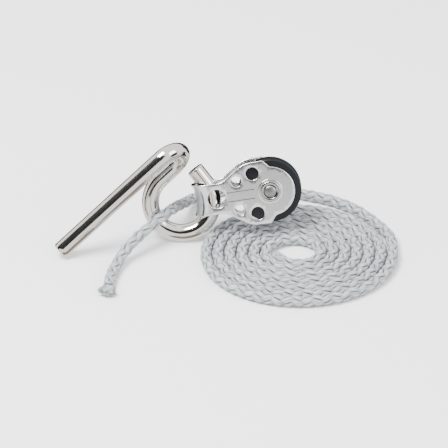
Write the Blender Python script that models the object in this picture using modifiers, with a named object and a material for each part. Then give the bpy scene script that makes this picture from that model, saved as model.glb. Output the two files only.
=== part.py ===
"""Single ball-bearing sheave block hanging on a bent rod hook, with its length of braided line.

Metres, +Z up. The floor is z = 0. The hook stands on its ring and on the end of its leg, and the
block lies back on the coiled line. The origin is under the middle of the hook and block.
"""

import math

import bmesh
import bpy
from mathutils import Vector

# Hook: one rod bent to an open ring, a short return, a half-turn and a straight leg.
ROD_RADIUS = 0.0030
RING_RADIUS = 0.0109  # of the rod's centreline
RING_SWEEP = math.radians(265.0)
STUB_LENGTH = 0.0066  # straight end past the open side of the ring
RETURN_LENGTH = 0.0060
BEND_DIAMETER = 0.0126  # of the rod's centreline, between the return and the leg
BEND_TWIST = math.radians(60.0)  # how far the half-turn stands out of the ring's plane
LEG_LENGTH = 0.0478
ROD_CHAMFER = 0.0004

# Where the hook stands and how far its ring leans back from upright.
RING_PLACE = (0.0010, 0.0039)
HOOK_LEAN = math.radians(20.5)

# Sheave and its ball race.
SHEAVE_RADIUS = 0.0110
SHEAVE_WIDTH = 0.0080
GROOVE_RADIUS = 0.0029
GROOVE_DEPTH = 0.0026
SHEAVE_EDGE = 0.0004
BALL_RADIUS = 0.0012
BALL_COUNT = 12
BALL_SPACE = 0.00016  # between neighbouring balls
RACE_CLEARANCE = 0.00015  # between a ball and each track
SHOULDER_AT = 0.0014  # from the middle of the race
SHOULDER_HEIGHT = 0.00055

# Axle: a flared tube through both cheeks, with a round pin in it.
TUBE_RADIUS = 0.0029
TUBE_WALL = 0.00045
FLARE_RADIUS = 0.0036
FLARE_HEIGHT = 0.00045
PIN_CLEARANCE = 0.0003
PIN_STANDS_OUT = 0.0003  # past the flare, at each side
PIN_DOME = 0.0006
FIT_CLEARANCE = 0.0001  # between the tube and what it passes through

# Strap: one sheet folded into two cheeks, with a saddle that rides on the ring.
STRAP_THICKNESS = 0.0010
SIDE_CLEARANCE = 0.0005  # between the sheave and each cheek
SWING_CLEARANCE = 0.0015  # between the rod and each cheek
AXLE_TO_ROD = SHEAVE_RADIUS + ROD_RADIUS + 0.0066
PIVOT_INSET = 0.0010  # from the rod's centreline to the block's swing axis, towards the ring's centre
CROWN_RADIUS = SHEAVE_RADIUS - 0.0023
CROWN_SWEEP = math.radians(80.0)  # of each half of the crown
SHOULDER_HALF_WIDTH = SHEAVE_RADIUS + 0.00025
NECK_HALF_WIDTH = 0.0054
FLANK = [  # corners of the cheek's edge: x and y from the axle, and rounding radius
    (0.0008, CROWN_RADIUS + 0.0001, 0.0007),
    (-0.0012, SHOULDER_HALF_WIDTH, 0.0010),
    (-0.0080, SHOULDER_HALF_WIDTH - 0.0002, 0.0080),
    (-0.0167, NECK_HALF_WIDTH, 0.0050),
]
HEAD_HALF_WIDTH = NECK_HALF_WIDTH + 0.0003
HEAD_MARGIN = 0.0040  # of the blank, past the outside of the saddle
SADDLE_DEPTH = ROD_RADIUS + 0.0019  # from the fold's centre line to the outside of the saddle
SADDLE_INSET = 0.0006  # from the rod's centreline to the fold's centre line
SADDLE_SWEEP_RADIUS = 0.0170
BOSS_RADIUS = 0.0044
BOSS_HEIGHT = 0.0002
HEAD_HOLE = (-0.0189, 0.0, 0.0033)  # x and y from the axle, radius
SMALL_HOLE = (-0.0114, 0.0051, 0.00187)
LARGE_HOLE = (-0.0054, 0.0071, 0.0023)
LINE_START, LINE_END = -0.0150, -0.0057  # the two engraved lines of the near cheek
LINE_OFFSET = 0.0016
LINE_WIDTH = 0.00022
LINE_DEPTH = 0.00012

# Where the block hangs on the ring.
BLOCK_TURN = math.radians(8.5)

# Line: a flat coil, and a tail that runs behind the block and through the ring.
LINE_DIAMETER = 0.0042
COIL_PLACE = (0.0414, -0.0173)  # from the ring's place
COIL_RADIUS = 0.0346
COIL_HOLE_RADIUS = 0.0046
REST_CLEARANCE = 0.0003  # between the block and the coil that it lies on
TAIL_ROUTE = [  # from the ring's place, and up from the floor
    (0.0623, 0.0131, 0.0021),
    (0.0588, 0.0166, 0.0021),
    (0.0515, 0.0215, 0.0021),
    (0.0429, 0.0250, 0.0021),
    (0.0346, 0.0276, 0.0021),
    (0.0258, 0.0292, 0.0021),
    (0.0170, 0.0288, 0.0021),
    (0.0098, 0.0258, 0.0022),
    (0.0042, 0.0200, 0.0033),
    (0.0009, 0.0124, 2 * ROD_RADIUS - 0.0002),
    (-0.0020, 0.0044, 2 * ROD_RADIUS + 0.0027),
    (-0.0053, -0.0041, 2 * ROD_RADIUS + 0.0050),
    (-0.0088, -0.0086, 2 * ROD_RADIUS + 0.0043),
    (-0.0122, -0.0116, 2 * ROD_RADIUS + 0.0027),
    (-0.0159, -0.0146, 0.0066),
    (-0.0196, -0.0186, 0.0042),
    (-0.0222, -0.0240, 0.0026),
    (-0.0240, -0.0308, 0.0021),
    (-0.0249, -0.0375, 0.0021),
    (-0.0251, -0.0404, 0.0021),
]
TAIL_END_SIZE = (0.0031, 0.0022, 0.0022)  # half sizes of the melted end
TAIL_STEP = 0.0050

MESH_MERGE = 1e-5
ROUND_STEPS = 40
BORE_STEPS = 24

CHEEK_GAP = max(SHEAVE_WIDTH + 2 * SIDE_CLEARANCE, 2 * (ROD_RADIUS + SWING_CLEARANCE))
CHEEK_FACE = CHEEK_GAP / 2 + STRAP_THICKNESS
BALL_PITCH = (BALL_RADIUS + BALL_SPACE / 2) / math.sin(math.pi / BALL_COUNT)
TRACK_INNER = BALL_PITCH - BALL_RADIUS - RACE_CLEARANCE
TRACK_OUTER = BALL_PITCH + BALL_RADIUS + RACE_CLEARANCE
PIVOT_TO_AXLE = AXLE_TO_ROD + PIVOT_INSET
RING_HEIGHT = RING_RADIUS * math.cos(HOOK_LEAN) + ROD_RADIUS


def clear_scene():
    for obj in list(bpy.data.objects):
        bpy.data.objects.remove(obj)
    for name in ("sheave_block_on_hook", "cutters"):
        collection = bpy.data.collections.new(name)
        bpy.context.scene.collection.children.link(collection)


def finish(name, colour, roughness, metallic):
    material = bpy.data.materials.new(name)
    material.use_nodes = True
    shader = material.node_tree.nodes["Principled BSDF"]
    shader.inputs["Base Color"].default_value = (*colour, 1.0)
    shader.inputs["Roughness"].default_value = roughness
    shader.inputs["Metallic"].default_value = metallic
    material.diffuse_color = (*colour, 1.0)
    return material


def steel(name):
    return finish(name, (0.62, 0.61, 0.59), 0.22, 1.0)


def acetal(name):
    return finish(name, (0.02, 0.022, 0.026), 0.35, 0.0)


def braid(name):
    return finish(name, (0.56, 0.58, 0.60), 0.75, 0.0)


def place(name, data, parent, material=None):
    """An object in the model's collection, or, with no material, one of the cutters."""
    obj = bpy.data.objects.new(name, data)
    obj.parent = parent
    if material:
        data.materials.append(material)
        bpy.data.collections["sheave_block_on_hook"].objects.link(obj)
    else:
        obj.hide_render = True
        obj.display_type = "WIRE"
        bpy.data.collections["cutters"].objects.link(obj)
    return obj


def empty(name, parent, location, rotation=(0, 0, 0)):
    obj = bpy.data.objects.new(name, None)
    obj.parent = parent
    obj.location = location
    obj.rotation_euler = rotation
    bpy.data.collections["sheave_block_on_hook"].objects.link(obj)
    return obj


def turned(name, profile, parent, material=None, steps=ROUND_STEPS, closed=True):
    """A profile of (radius, height) points, run down its outer side, turned about local Z."""
    mesh = bpy.data.meshes.new(name)
    count = len(profile)
    edges = [(i, (i + 1) % count) for i in range(count if closed else count - 1)]
    mesh.from_pydata([(radius, 0, height) for radius, height in profile], edges, [])
    obj = place(name, mesh, parent, material)
    screw = obj.modifiers.new("turn", "SCREW")
    screw.steps = steps
    screw.render_steps = steps
    screw.use_merge_vertices = True
    screw.merge_threshold = MESH_MERGE
    return obj


def cylinder(name, radius, bottom, top, at, parent, steps=ROUND_STEPS):
    """A cutter along local Z, centred on the (x, y) point at."""
    shape = bmesh.new()
    bmesh.ops.create_cone(
        shape,
        cap_ends=True,
        segments=steps,
        radius1=radius,
        radius2=radius,
        depth=top - bottom,
    )
    mesh = bpy.data.meshes.new(name)
    shape.to_mesh(mesh)
    shape.free()
    obj = place(name, mesh, parent)
    obj.location = (*at, (top + bottom) / 2)
    return obj


def boolean(obj, operation, other):
    modifier = obj.modifiers.new(f"{operation.lower()} {other.name}", "BOOLEAN")
    modifier.operation = operation
    modifier.object = other
    modifier.solver = "EXACT"


def tube(name, points, radius, parent, material, bevel_resolution, radii=None):
    """A round rod or line along the points, its ends closed."""
    curve = bpy.data.curves.new(name, "CURVE")
    curve.dimensions = "3D"
    curve.bevel_depth = radius
    curve.bevel_resolution = bevel_resolution
    curve.use_fill_caps = True
    spline = curve.splines.new("POLY")
    spline.points.add(len(points) - 1)
    for i, point in enumerate(points):
        spline.points[i].co = (*point, 1)
        spline.points[i].radius = radii[i] if radii else 1.0
    return place(name, curve, parent, material)


def arc(centre, radius, start, end, steps):
    """Points of a flat arc, both ends included."""
    angles = [start + (end - start) * i / steps for i in range(steps + 1)]
    return [
        (centre[0] + radius * math.cos(a), centre[1] + radius * math.sin(a)) for a in angles
    ]


def rounded(corners, steps=6):
    """The inner corners (x, y, radius) of an open outline, each rounded to its radius."""
    points = []
    for before, corner, after in zip(corners, corners[1:], corners[2:]):
        here = Vector(corner[:2])
        back = (Vector(before[:2]) - here).normalized()
        on = (Vector(after[:2]) - here).normalized()
        half = back.angle(on) / 2
        centre = here + (back + on).normalized() * corner[2] / math.sin(half)
        first = here + back * corner[2] / math.tan(half) - centre
        turn = first.angle_signed(here + on * corner[2] / math.tan(half) - centre)
        for i in range(steps + 1):
            angle = math.atan2(first.y, first.x) - turn * i / steps
            points.append(
                (centre.x + corner[2] * math.cos(angle), centre.y + corner[2] * math.sin(angle))
            )
    return points


def strap_outline():
    """The strap's side view: crown, step, shoulder, flank, neck and head, then the same mirrored."""
    crown = arc((0, 0), CROWN_RADIUS, 0, CROWN_SWEEP, 12)
    head = (-(AXLE_TO_ROD + SADDLE_INSET + SADDLE_DEPTH + HEAD_MARGIN), HEAD_HALF_WIDTH)
    upper = [*crown, *rounded([(*crown[-1], 0), *FLANK, (*head, 0)]), head]
    return [*upper, *((x, -y) for x, y in reversed(upper[1:]))]


def hook_centreline():
    """The rod's centreline in its own frame: ring in the XY plane, leg running to -X."""
    ring_start = math.pi / 2 + RING_SWEEP
    ring = arc((0, 0), RING_RADIUS, ring_start, math.pi / 2, 32)
    ring = [Vector((x, y, 0)) for x, y in ring]
    away = Vector((-math.sin(ring_start), math.cos(ring_start), 0))
    stub = ring[0] + away * STUB_LENGTH
    side = Vector((0, math.cos(BEND_TWIST), math.sin(BEND_TWIST))) * BEND_DIAMETER / 2
    middle = ring[-1] + Vector((RETURN_LENGTH, 0, 0)) + side
    bend = [
        middle + Vector((BEND_DIAMETER / 2 * y, 0, 0)) - side * x
        for x, y in arc((0, 0), 1, 0, math.pi, 14)
    ]
    end = bend[-1] - Vector((LEG_LENGTH, 0, 0))
    return [stub, *ring, *bend, end]


def resting_roll(leg_end):
    """How far the hook is rolled in its own plane when the rim of its leg's end meets the floor."""
    reach = math.hypot(leg_end.x, leg_end.y)
    roll = math.radians(40)  # a first guess
    for _ in range(8):
        slope = math.sin(roll) * math.cos(HOOK_LEAN)
        height = ROD_RADIUS * math.sqrt(1 - slope**2)
        level = (height - RING_HEIGHT - leg_end.z * math.sin(HOOK_LEAN)) / math.cos(HOOK_LEAN)
        roll = math.pi - math.asin(level / reach) - math.atan2(leg_end.y, leg_end.x)
    return roll


def resting_lean():
    """How far the block leans back from the ring's plane when its lowest cheek meets the coil.

    A point of the block u along it, v across it and w out of it is at the height
    K + P cos(lean) - Q sin(lean), where z names the upward share of each direction.
    """
    along_z = math.sin(BLOCK_TURN) * math.cos(HOOK_LEAN)
    across_z = math.cos(BLOCK_TURN) * math.cos(HOOK_LEAN)
    out_z = math.sin(HOOK_LEAN)
    u, v = min(strap_outline(), key=lambda point: point[0] * along_z + point[1] * across_z)
    u, w = u + PIVOT_TO_AXLE, -CHEEK_FACE
    fixed = RING_HEIGHT + (RING_RADIUS - PIVOT_INSET) * along_z + v * across_z
    p, q = u * along_z + w * out_z, u * out_z - w * along_z
    height = LINE_DIAMETER + REST_CLEARANCE
    return math.acos((height - fixed) / math.hypot(p, q)) - math.atan2(q, p)


def make_hook(hook_plane):
    points = hook_centreline()
    roll = resting_roll(points[-1])
    first, last = (points[1] - points[0]).normalized(), (points[-2] - points[-1]).normalized()
    ends = [points[0] + first * ROD_CHAMFER, points[-1] + last * ROD_CHAMFER]
    points = [points[0], ends[0], *points[1:-1], ends[1], points[-1]]
    radii = [1.0] * len(points)
    radii[0] = radii[-1] = 1 - ROD_CHAMFER / ROD_RADIUS
    hook = tube("hook", points, ROD_RADIUS, hook_plane, steel("hook_steel"), 6, radii)
    hook.rotation_euler = (0, 0, roll)


def shell_profile(half_gap, depth):
    """Half the section of a folded sheet's face: two flats joined by a half ellipse of that depth."""
    far = SADDLE_SWEEP_RADIUS + 2 * PIVOT_TO_AXLE
    fold = [
        (SADDLE_SWEEP_RADIUS - depth * y, -half_gap * x)
        for x, y in arc((0, 0), 1, 0, math.pi, 12)
    ]
    return [(far, half_gap), (far, -half_gap), *fold]


def make_strap(axle):
    outline = strap_outline()
    curve = bpy.data.curves.new("strap_blank", "CURVE")
    curve.dimensions = "2D"
    curve.fill_mode = "BOTH"
    curve.extrude = CHEEK_FACE + STRAP_THICKNESS
    spline = curve.splines.new("POLY")
    spline.points.add(len(outline) - 1)
    for point, (x, y) in zip(spline.points, outline):
        point.co = (x, y, 0, 1)
    spline.use_cyclic_u = True
    blank = place("strap_blank", curve, axle)
    bpy.context.view_layer.update()
    graph = bpy.context.evaluated_depsgraph_get()
    mesh = bpy.data.meshes.new_from_object(blank.evaluated_get(graph))
    bpy.data.objects.remove(blank)
    shape = bmesh.new()
    shape.from_mesh(mesh)
    bmesh.ops.remove_doubles(shape, verts=shape.verts, dist=MESH_MERGE)
    shape.to_mesh(mesh)
    shape.free()
    mesh.materials.clear()
    strap = place("strap", mesh, axle, steel("strap_steel"))

    sweep_axis = -(AXLE_TO_ROD + SADDLE_INSET + SADDLE_SWEEP_RADIUS)
    outside = turned("strap_outside", shell_profile(CHEEK_FACE, SADDLE_DEPTH), axle, steps=60)
    inside_depth = SADDLE_DEPTH - STRAP_THICKNESS
    inside = turned("strap_inside", shell_profile(CHEEK_GAP / 2, inside_depth), axle, steps=60)
    outside.location = inside.location = (sweep_axis, 0, 0)
    boolean(strap, "INTERSECT", outside)
    boolean(strap, "DIFFERENCE", inside)

    root = CHEEK_FACE - STRAP_THICKNESS / 2
    for side in (-1, 1):
        low, high = sorted((side * root, side * (CHEEK_FACE + BOSS_HEIGHT)))
        boss = cylinder(f"boss_{side + 2}", BOSS_RADIUS, low, high, (0, 0), axle)
        boolean(strap, "UNION", boss)

    through = CHEEK_FACE + STRAP_THICKNESS
    holes = [(0, 0, TUBE_RADIUS + FIT_CLEARANCE), HEAD_HOLE]
    holes += [(x, side * y, r) for x, y, r in (SMALL_HOLE, LARGE_HOLE) for side in (-1, 1)]
    for i, (x, y, radius) in enumerate(holes):
        for side in (-1, 1):
            name, steps = f"hole_{i}_{side + 2}", BORE_STEPS if i else ROUND_STEPS
            low, high = sorted((side * through, side * (CHEEK_GAP / 2 - STRAP_THICKNESS)))
            cutter = cylinder(name, radius, low, high, (x, y), axle, steps)
            boolean(strap, "DIFFERENCE", cutter)

    for side in (-1, 1):
        mesh = bpy.data.meshes.new(f"engraving_{side + 2}")
        shape = bmesh.new()
        bmesh.ops.create_cube(shape, size=1)
        size = (LINE_END - LINE_START, LINE_WIDTH, 2 * LINE_DEPTH)
        bmesh.ops.scale(shape, vec=size, verts=shape.verts)
        shape.to_mesh(mesh)
        shape.free()
        cutter = place(mesh.name, mesh, axle)
        cutter.location = ((LINE_START + LINE_END) / 2, side * LINE_OFFSET, CHEEK_FACE)
        boolean(strap, "DIFFERENCE", cutter)


def make_sheave(axle):
    """A grooved wheel with a stepped bore that holds the outer track of the balls."""
    half = SHEAVE_WIDTH / 2
    land = GROOVE_RADIUS * math.sqrt(1 - (1 - GROOVE_DEPTH / GROOVE_RADIUS) ** 2)
    bottom = SHEAVE_RADIUS - GROOVE_DEPTH + GROOVE_RADIUS
    spread = math.atan2(land, GROOVE_RADIUS - GROOVE_DEPTH)
    groove = [
        (bottom - GROOVE_RADIUS * math.cos(a), GROOVE_RADIUS * math.sin(a))
        for a in (spread - 2 * spread * i / 8 for i in range(9))
    ]
    bore = TRACK_OUTER - SHOULDER_HEIGHT
    edge = SHEAVE_EDGE
    profile = [
        (bore, half),
        (SHEAVE_RADIUS - edge, half),
        (SHEAVE_RADIUS, half - edge),
        *groove,
        (SHEAVE_RADIUS, edge - half),
        (SHEAVE_RADIUS - edge, -half),
        (bore, -half),
        (bore, -SHOULDER_AT),
        (TRACK_OUTER, -SHOULDER_AT / 2),
        (TRACK_OUTER, SHOULDER_AT / 2),
        (bore, SHOULDER_AT),
    ]
    turned("sheave", profile, axle, acetal("sheave_acetal"), steps=48)


def make_races(axle):
    """The inner track, split in the middle so that the balls can be put in."""
    bore = TUBE_RADIUS + FIT_CLEARANCE
    outer = CHEEK_GAP / 2 - FIT_CLEARANCE
    split = FIT_CLEARANCE / 2
    profile = [
        (bore, outer),
        (TRACK_INNER + SHOULDER_HEIGHT, outer),
        (TRACK_INNER + SHOULDER_HEIGHT, SHOULDER_AT),
        (TRACK_INNER, SHOULDER_AT / 2),
        (TRACK_INNER, split),
        (bore, split),
    ]
    turned("race_front", profile, axle, acetal("race_front_acetal"))
    mirrored = [(radius, -height) for radius, height in reversed(profile)]
    turned("race_back", mirrored, axle, acetal("race_back_acetal"))


def make_balls(axle):
    for i in range(BALL_COUNT):
        name = f"ball_{i + 1:02d}"
        shape = bmesh.new()
        bmesh.ops.create_uvsphere(shape, u_segments=10, v_segments=7, radius=BALL_RADIUS)
        mesh = bpy.data.meshes.new(name)
        shape.to_mesh(mesh)
        shape.free()
        ball = place(name, mesh, axle, finish(f"{name}_acetal", (0.75, 0.74, 0.70), 0.4, 0.0))
        angle = 2 * math.pi * i / BALL_COUNT
        ball.location = (BALL_PITCH * math.cos(angle), BALL_PITCH * math.sin(angle), 0)


def make_axle(axle):
    """The flared tube that clamps the cheeks, and the domed pin that fills it."""
    seat = CHEEK_FACE + BOSS_HEIGHT + FIT_CLEARANCE
    top = seat + FLARE_HEIGHT
    bore = TUBE_RADIUS - TUBE_WALL
    lip = FLARE_HEIGHT / 2
    half = [
        (bore + lip, top),
        (FLARE_RADIUS - lip, top),
        (FLARE_RADIUS, top - lip),
        (FLARE_RADIUS, seat),
        (TUBE_RADIUS, seat),
    ]
    lower = [(radius, -height) for radius, height in reversed(half)]
    inner = [(bore, lip - top), (bore, top - lip)]
    turned("axle_tube", [*half, *lower, *inner], axle, steel("axle_tube_steel"))

    radius = bore - PIN_CLEARANCE
    end = top + PIN_STANDS_OUT
    cap = [
        (radius * math.sin(a), end - PIN_DOME * (1 - math.cos(a)))
        for a in (math.pi / 2 * i / 6 for i in range(7))
    ]
    lower = [(r, -height) for r, height in reversed(cap)]
    turned("axle_pin", [*cap, *lower], axle, steel("axle_pin_steel"), closed=False)


def smooth_path(points, step):
    """Points about one step apart on a curve through the given ones.

    Between two points the curve is a cubic whose end slopes are half the chord of the neighbours.
    """
    points = [Vector(point) for point in points]
    ends = [2 * points[0] - points[1], *points, 2 * points[-1] - points[-2]]
    path = []
    for p0, p1, p2, p3 in zip(ends, ends[1:], ends[2:], ends[3:]):
        count = max(1, round((p2 - p1).length / step))
        for i in range(count):
            t = i / count
            path.append(
                p1
                + (p2 - p0) * t / 2
                + (2 * p0 - 5 * p1 + 4 * p2 - p3) * t**2 / 2
                + (3 * p1 - p0 - 3 * p2 + p3) * t**3 / 2
            )
    return [*path, points[-1]]


def make_line():
    """The coil as one turned ring with a rounded rim, the tail as a tube, and its melted end."""
    radius = LINE_DIAMETER / 2
    rim = [
        (COIL_RADIUS - radius + radius * math.sin(a), radius + radius * math.cos(a))
        for a in (math.pi * i / 6 for i in range(7))
    ]
    eye = [
        (COIL_HOLE_RADIUS + radius - radius * math.sin(a), radius - radius * math.cos(a))
        for a in (math.pi * i / 4 for i in range(5))
    ]
    coil = turned("rope_coil", [*rim, *eye], None, braid("rope_coil_braid"), steps=56)
    coil.location = (RING_PLACE[0] + COIL_PLACE[0], RING_PLACE[1] + COIL_PLACE[1], 0)

    place_of_ring = Vector((*RING_PLACE, 0))
    route = [Vector(point) + place_of_ring for point in TAIL_ROUTE]
    path = smooth_path(route, TAIL_STEP)
    tube("rope_tail", path, radius, None, braid("rope_tail_braid"), 3)

    shape = bmesh.new()
    bmesh.ops.create_uvsphere(shape, u_segments=16, v_segments=10, radius=1)
    bmesh.ops.scale(shape, vec=TAIL_END_SIZE, verts=shape.verts)
    mesh = bpy.data.meshes.new("rope_tail_end")
    shape.to_mesh(mesh)
    shape.free()
    end = place("rope_tail_end", mesh, None, braid("rope_tail_end_braid"))
    reach = TAIL_END_SIZE[1] + REST_CLEARANCE
    onward = (route[-1] - route[-2]).normalized()
    end.location = (route[-1].x + onward.x * reach, route[-1].y + onward.y * reach, TAIL_END_SIZE[2])
    end.rotation_euler = (0, 0, math.atan2(onward.y, onward.x) + math.pi / 2)


def main():
    clear_scene()
    hook_plane = empty(
        "hook_plane", None, (*RING_PLACE, RING_HEIGHT), (math.pi / 2 - HOOK_LEAN, 0, 0)
    )
    reach = RING_RADIUS - PIVOT_INSET
    block_pivot = empty(
        "block_pivot",
        hook_plane,
        (reach * math.cos(BLOCK_TURN), reach * math.sin(BLOCK_TURN), 0),
        (0, resting_lean(), BLOCK_TURN),
    )
    axle = empty("axle_centre", block_pivot, (PIVOT_TO_AXLE, 0, 0))
    make_hook(hook_plane)
    make_strap(axle)
    make_sheave(axle)
    make_races(axle)
    make_balls(axle)
    make_axle(axle)
    make_line()
    bpy.context.view_layer.update()


main()
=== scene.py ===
"""Single sheave block hanging on a bent rod hook, with its coil of braided line.

Laid out as an add-on: sizes and finishes are properties, and each piece has its own operator.
Lengths are metres, +Z is up, and the floor is z = 0.
"""

import math

import bmesh
import bpy
import numpy as np
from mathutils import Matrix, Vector
from mathutils.geometry import delaunay_2d_cdt


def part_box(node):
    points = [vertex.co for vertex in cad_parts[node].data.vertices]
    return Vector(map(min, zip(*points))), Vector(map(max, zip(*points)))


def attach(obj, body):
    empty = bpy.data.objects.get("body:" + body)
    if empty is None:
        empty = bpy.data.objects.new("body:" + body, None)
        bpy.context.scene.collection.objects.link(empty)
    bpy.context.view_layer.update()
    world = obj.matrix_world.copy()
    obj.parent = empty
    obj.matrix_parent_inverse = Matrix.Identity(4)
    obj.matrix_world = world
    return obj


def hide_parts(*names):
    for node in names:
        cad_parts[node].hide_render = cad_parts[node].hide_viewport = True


bl_info = {
    "name": "Sheave block on a rod hook",
    "version": (1, 0, 0),
    "blender": (4, 2, 0),
    "location": "View3D > Sidebar > Block",
    "description": "Makes a small sheave block, its rod hook and its line",
    "category": "Object",
}

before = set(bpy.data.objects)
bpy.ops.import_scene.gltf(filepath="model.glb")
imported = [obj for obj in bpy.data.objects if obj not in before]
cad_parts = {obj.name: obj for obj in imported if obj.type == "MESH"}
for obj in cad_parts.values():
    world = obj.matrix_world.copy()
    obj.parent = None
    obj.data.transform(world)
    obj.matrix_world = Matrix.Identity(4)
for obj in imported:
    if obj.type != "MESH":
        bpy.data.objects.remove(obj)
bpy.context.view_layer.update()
MM = 1000.0  # millimetres in a metre

# Where the hook's ring stands, and the directions of the hook's own X, Y and Z.
RING_PLACE = np.array([0.0010, 0.0039, 0.01321])
HOOK_LEAN = math.radians(20.5)
HOOK_ROLL = math.radians(42.703)

# Where the axle's middle is, and the directions along, across and out of the block.
AXLE_PLACE = np.array([0.032154, 0.005530, 0.017571])
BLOCK_AXES = np.array(
    [
        [0.989016, 0.051734, 0.138460],
        [-0.147809, 0.346361, 0.926384],
        [-0.000032, -0.936674, 0.350203],
    ]
)

# The line's route past its coil, from the ring's place on the floor.
COIL_CENTRE = (0.04025, -0.01670)
COIL_START = -2.9
COIL_TURNS = 6
COIL_EXIT = ((0.0349, 19.6), (0.0355, 40.0))
TAIL_ROUTE = (
    (0.0623, 0.0131, 0.0021),
    (0.0588, 0.0166, 0.0021),
    (0.0515, 0.0215, 0.0021),
    (0.0429, 0.0250, 0.0021),
    (0.0346, 0.0276, 0.0021),
    (0.0258, 0.0292, 0.0021),
    (0.0170, 0.0288, 0.0021),
    (0.0098, 0.0258, 0.0022),
    (0.0042, 0.0200, 0.0033),
    (0.0009, 0.0124, 0.0058),
    (-0.0020, 0.0044, 0.0087),
    (-0.0053, -0.0041, 0.0110),
    (-0.0088, -0.0086, 0.0103),
    (-0.0122, -0.0116, 0.0087),
    (-0.0159, -0.0146, 0.0066),
    (-0.0196, -0.0186, 0.0042),
    (-0.0222, -0.0240, 0.0026),
    (-0.0240, -0.0308, 0.0021),
    (-0.0249, -0.0375, 0.0021),
    (-0.0251, -0.0404, 0.0021),
)

# A long lens, so that near and far pieces keep nearly the same scale.
CAMERA_PLACE = (0.01594, -1.51520, 0.88130)
CAMERA_AIM = (0.01594, 0.00003, 0.0065)
CAMERA_LENS, CAMERA_SENSOR = 400.0, 36.0
CAMERA_NEAR = 0.01

# A light is its name, place, aim, width and height, and power in watts. A card has a colour in
# place of the power, and shows only in what the metal reflects.
WORLD_LIGHT = 1.62
LIGHTS = (
    ("key", (-0.35, -0.20, 0.80), (0.01, 0.0, 0.0), (0.5, 0.4), 18.0),
    ("fill", (0.6, -0.35, 0.45), (0.02, 0.0, 0.0), (0.4, 0.5), 3.0),
)
BLACK, BEIGE = (0.01, 0.01, 0.01), (0.26, 0.22, 0.17)
CARDS = (
    ("card_front", (-0.80, -1.00, 0.90), (0.0, 0.0, 0.0), (3.2, 1.15), BLACK),
    ("card_back", (0.0, 1.5, -0.25), (0.0, 0.0, -0.25), (4.0, 1.50), BLACK),
    ("card_left", (-1.30, -0.45, -0.05), (0.0, 0.0, 0.0), (0.75, 0.90), BLACK),
    ("card_right", (1.30, -0.62, 0.0), (0.0, 0.0, 0.0), (0.60, 0.80), BLACK),
    ("card_low", (0.55, -0.75, -1.05), (0.0, 0.0, 0.0), (2.4, 1.00), BEIGE),
)
FLOOR_WIDTH = 8.0
MATT = {"metallic": 0.0, "roughness": 0.9, "grain": 0.02, "scale": 4.0, "bump": 0.0}


def length(name, description, default):
    """A property in metres."""
    return bpy.props.FloatProperty(
        name=name, description=description, default=default, unit="LENGTH", precision=5
    )


def colour(name, description, default):
    """A linear colour property."""
    return bpy.props.FloatVectorProperty(
        name=name, description=description, default=default, subtype="COLOR", min=0, max=1
    )


class HookSizes(bpy.types.PropertyGroup):
    """Sizes of the bent rod"""

    rod_radius: length("Rod radius", "Radius of the hook's rod", 0.0030)
    ring_radius: length("Ring radius", "Radius of the ring, to the middle of the rod", 0.0109)
    ring_sweep: bpy.props.FloatProperty(
        name="Ring sweep",
        description="How far round the open ring goes",
        default=math.radians(265),
        subtype="ANGLE",
    )
    stub: length("Stub", "Straight end past the ring's open side", 0.0066)
    back: length("Return", "Straight piece between the ring and the half-turn", 0.0060)
    bend: length("Half-turn", "Width of the half-turn, to the middle of the rod", 0.0126)
    twist: bpy.props.FloatProperty(
        name="Twist",
        description="How far the half-turn stands out of the ring's plane",
        default=math.radians(60),
        subtype="ANGLE",
    )
    leg: length("Leg", "Straight leg past the half-turn", 0.0478)
    edge: length("Edge", "Rounding at the rod's cut ends", 0.0004)


class BlockSizes(bpy.types.PropertyGroup):
    """Sizes of the strap, the sheave and the axle"""

    thickness: length("Sheet", "Thickness of the strap's sheet", 0.0010)
    gap: length("Gap", "Between the inner faces of the two cheeks", 0.0090)
    edge: length("Sheet edge", "Rounding along the sheet's edges", 0.00026)
    hole_edge: length("Hole edge", "Rounding round the sheet's holes", 0.00020)
    crown: length("Crown", "Radius of the cheek round the axle", 0.0087)
    shoulder: length("Shoulder", "Half the cheek's greatest width", 0.01125)
    neck: length("Neck", "Half the strap's least width", 0.0054)
    sheave_radius: length("Sheave radius", "Outer radius of the sheave", 0.0110)
    sheave_width: length("Sheave width", "Width of the sheave", 0.0080)
    groove_radius: length("Groove radius", "Radius of the groove's section", 0.0029)
    groove_depth: length("Groove depth", "How deep the groove is cut", 0.0026)
    tube_radius: length("Tube radius", "Outer radius of the axle's tube", 0.0029)
    tube_wall: length("Tube wall", "Wall of the axle's tube", 0.00045)
    flare_radius: length("Flare radius", "Outer radius of the tube's flared ends", 0.0036)
    ball_radius: length("Ball radius", "Radius of one ball", 0.0012)


class LineSizes(bpy.types.PropertyGroup):
    """Sizes of the braided line and its coil"""

    diameter: length("Diameter", "Diameter of the line", 0.0042)
    first_turn: length("First turn", "Radius of the coil's inner turn", 0.0086)
    lay: length("Lay", "Length of one turn of a strand", 0.0270)
    strands: bpy.props.IntProperty(
        name="Strands each way",
        description="Strands that turn each way round the line",
        default=4,
        min=2,
    )
    strand_spread: bpy.props.FloatProperty(
        name="Strand spread",
        description="Half of a strand's width, as an angle round the line",
        default=0.73,
        subtype="ANGLE",
    )
    strand_depth: length("Strand depth", "Half thickness of a strand", 0.00042)
    weave: length("Weave", "How far a strand rises and sinks in the weave", 0.00032)


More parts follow.
